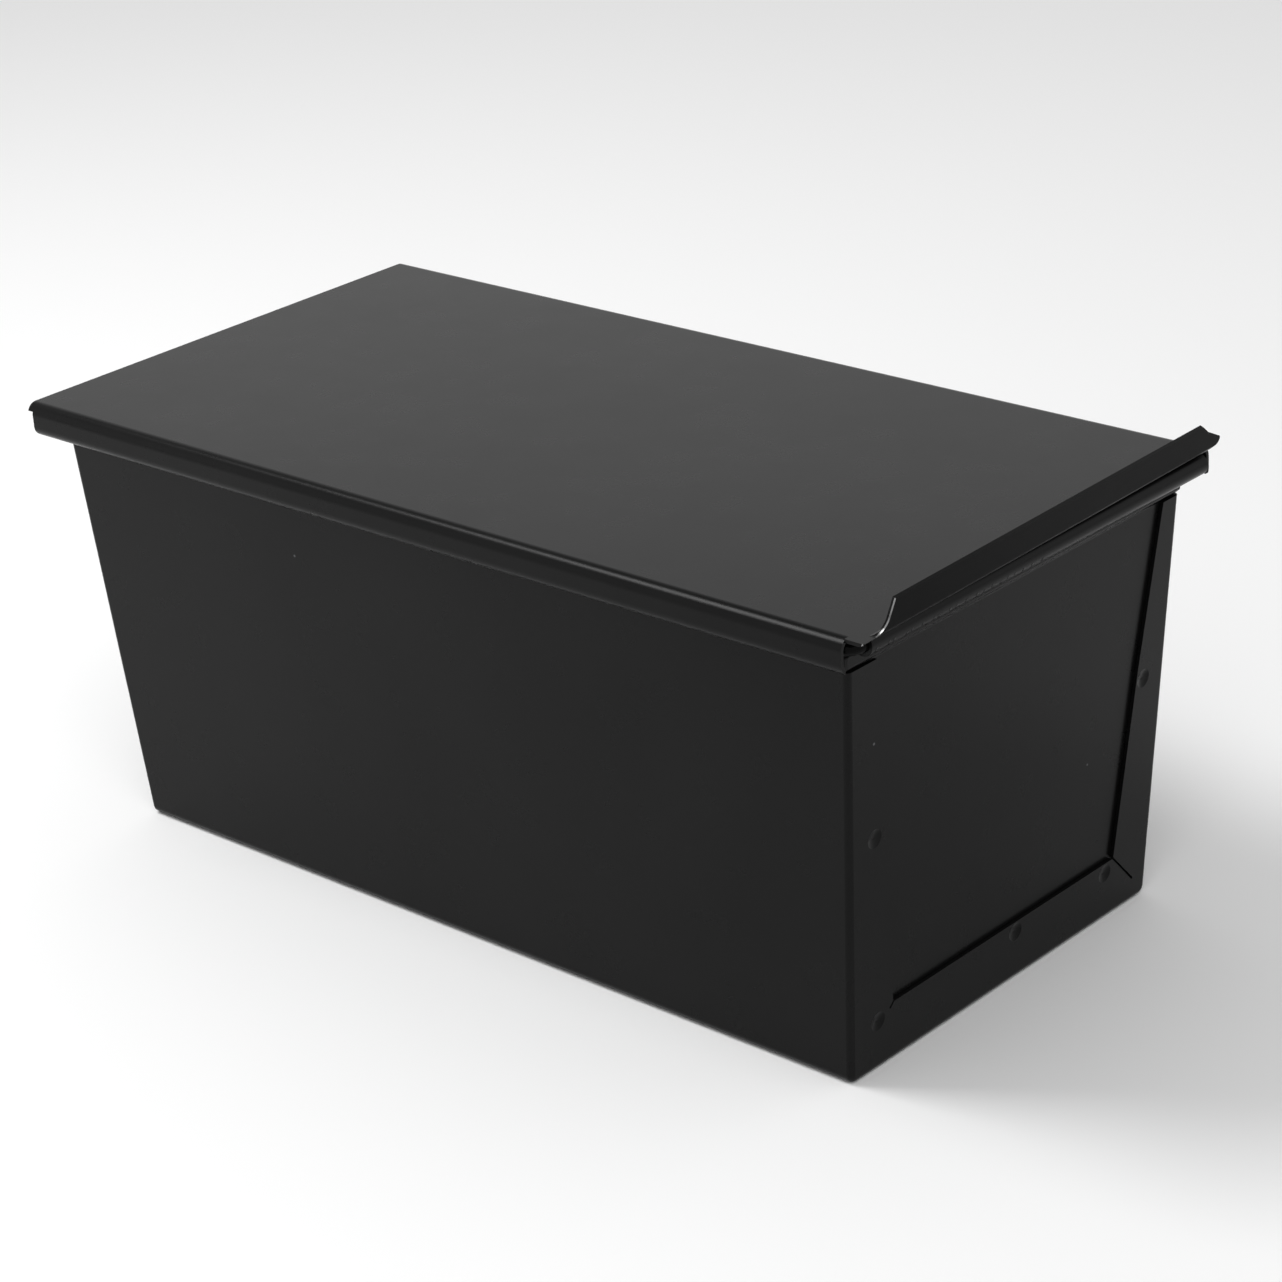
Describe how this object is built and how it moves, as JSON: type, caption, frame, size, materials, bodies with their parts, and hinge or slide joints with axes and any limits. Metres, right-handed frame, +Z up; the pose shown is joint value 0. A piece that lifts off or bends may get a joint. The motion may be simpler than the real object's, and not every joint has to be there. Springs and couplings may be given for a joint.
{
  "type": "pullman loaf pan",
  "caption": "Lidded loaf pan of folded coated sheet with wired rolled rims and a flat lid that slides along them on hooked side channels, drawn off by a turned-up lip.",
  "frame": {"origin": "middle of the floor's underside", "axes": "+X along the pan towards the lid's turned-up lip, +Y across the pan, +Z up"},
  "size_m": [0.2457, 0.1211, 0.1115],
  "materials": {
    "coated_sheet": "satin black non-stick coating",
    "lid_sheet": "satin black non-stick coating",
    "wire_steel": "drawn steel wire, darkened"
  },
  "bodies": {
    "pan": {"folded_body": "coated_sheet", "lip_end_panel": "coated_sheet", "plain_end_panel": "coated_sheet", "rim_wire": "wire_steel"},
    "lid": {"sliding_lid": "lid_sheet"}
  },
  "joints": [
    {"name": "lid_slide", "type": "slide", "parent": "pan", "child": "lid", "axis": [1, 0, 0], "range_m": [0, 0.24]}
  ]
}
